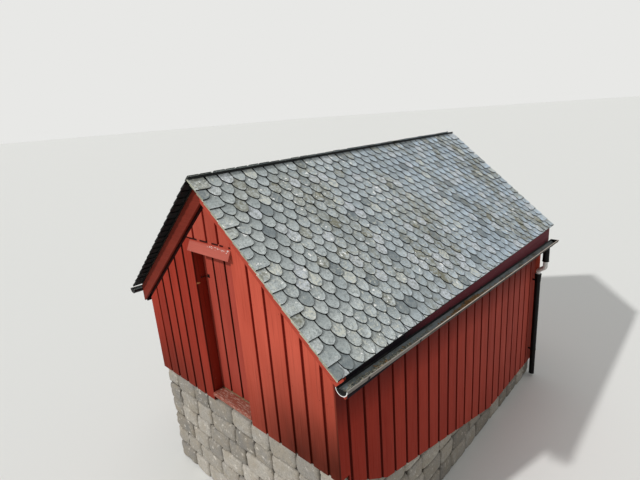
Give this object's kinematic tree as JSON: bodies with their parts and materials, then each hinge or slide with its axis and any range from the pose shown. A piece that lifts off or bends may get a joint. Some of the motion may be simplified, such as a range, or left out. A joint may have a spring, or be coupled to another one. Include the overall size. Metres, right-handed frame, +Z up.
{
  "type": "boathouse",
  "caption": "Timber boathouse with vertical red boarding, a steep scale-slate roof, side gutters and a recessed gable door that opens inwards, on a dry-stone footing stepped for a bank.",
  "frame": {"origin": "on the ground, at the centre of the building's plan", "axes": "+Z up, +Y along the ridge from the door gable to the back gable, +X to the right when facing the door gable from outside"},
  "size_m": [3.9846, 5.6863, 4.4758],
  "materials": {
    "red_boards": "matt red barn paint",
    "worn_red_wood": "worn red paint",
    "bare_timber": "sawn, unpainted",
    "slate": "riven slate",
    "dry_stone": "rough field stone",
    "gutter_steel": "black coating",
    "black_pipe": "black coating",
    "white_pipe": "satin white",
    "forged_iron": "dark, rusty",
    "bare_steel": "dull zinc"
  },
  "bodies": {
    "house": {"front_wall_left": "red_boards", "front_wall_right": "red_boards", "front_wall_top": "red_boards", "back_wall": "red_boards", "left_wall": "red_boards", "right_wall": "red_boards", "front_left_bargeboard": "red_boards", "front_right_bargeboard": "red_boards", "back_left_bargeboard": "red_boards", "back_right_bargeboard": "red_boards", "left_fascia": "red_boards", "right_fascia": "red_boards", "left_jamb": "red_boards", "right_jamb": "red_boards", "door_head": "red_boards", "drip_board": "red_boards", "threshold": "worn_red_wood", "floor": "bare_timber", "rafters": "bare_timber", "ridge_board": "bare_timber", "collars": "bare_timber", "left_roof_deck": "bare_timber", "right_roof_deck": "bare_timber", "hinge_post": "bare_timber", "left_slates": "slate", "right_slates": "slate", "front_footing": "dry_stone", "back_footing": "dry_stone", "left_footing": "dry_stone", "right_footing": "dry_stone", "left_gutter": "gutter_steel", "right_gutter": "gutter_steel", "gutter_caps": "gutter_steel", "gutter_brackets": "gutter_steel", "gutter_outlets": "black_pipe", "downpipes": "black_pipe", "downpipe_clips": "black_pipe", "downpipe_bends": "white_pipe", "hinge_pintles": "forged_iron", "door_hook": "bare_steel"},
    "door": {"door_leaf": "red_boards", "door_ledges": "bare_timber", "door_brace": "bare_timber", "hinge_straps": "forged_iron", "door_staple": "bare_steel"}
  },
  "joints": [
    {"name": "door_swing", "type": "hinge", "parent": "house", "child": "door", "pos_m": [0.395, -2.4754, 1.91], "axis": [0, 0, -1], "range_deg": [0, 100]}
  ]
}
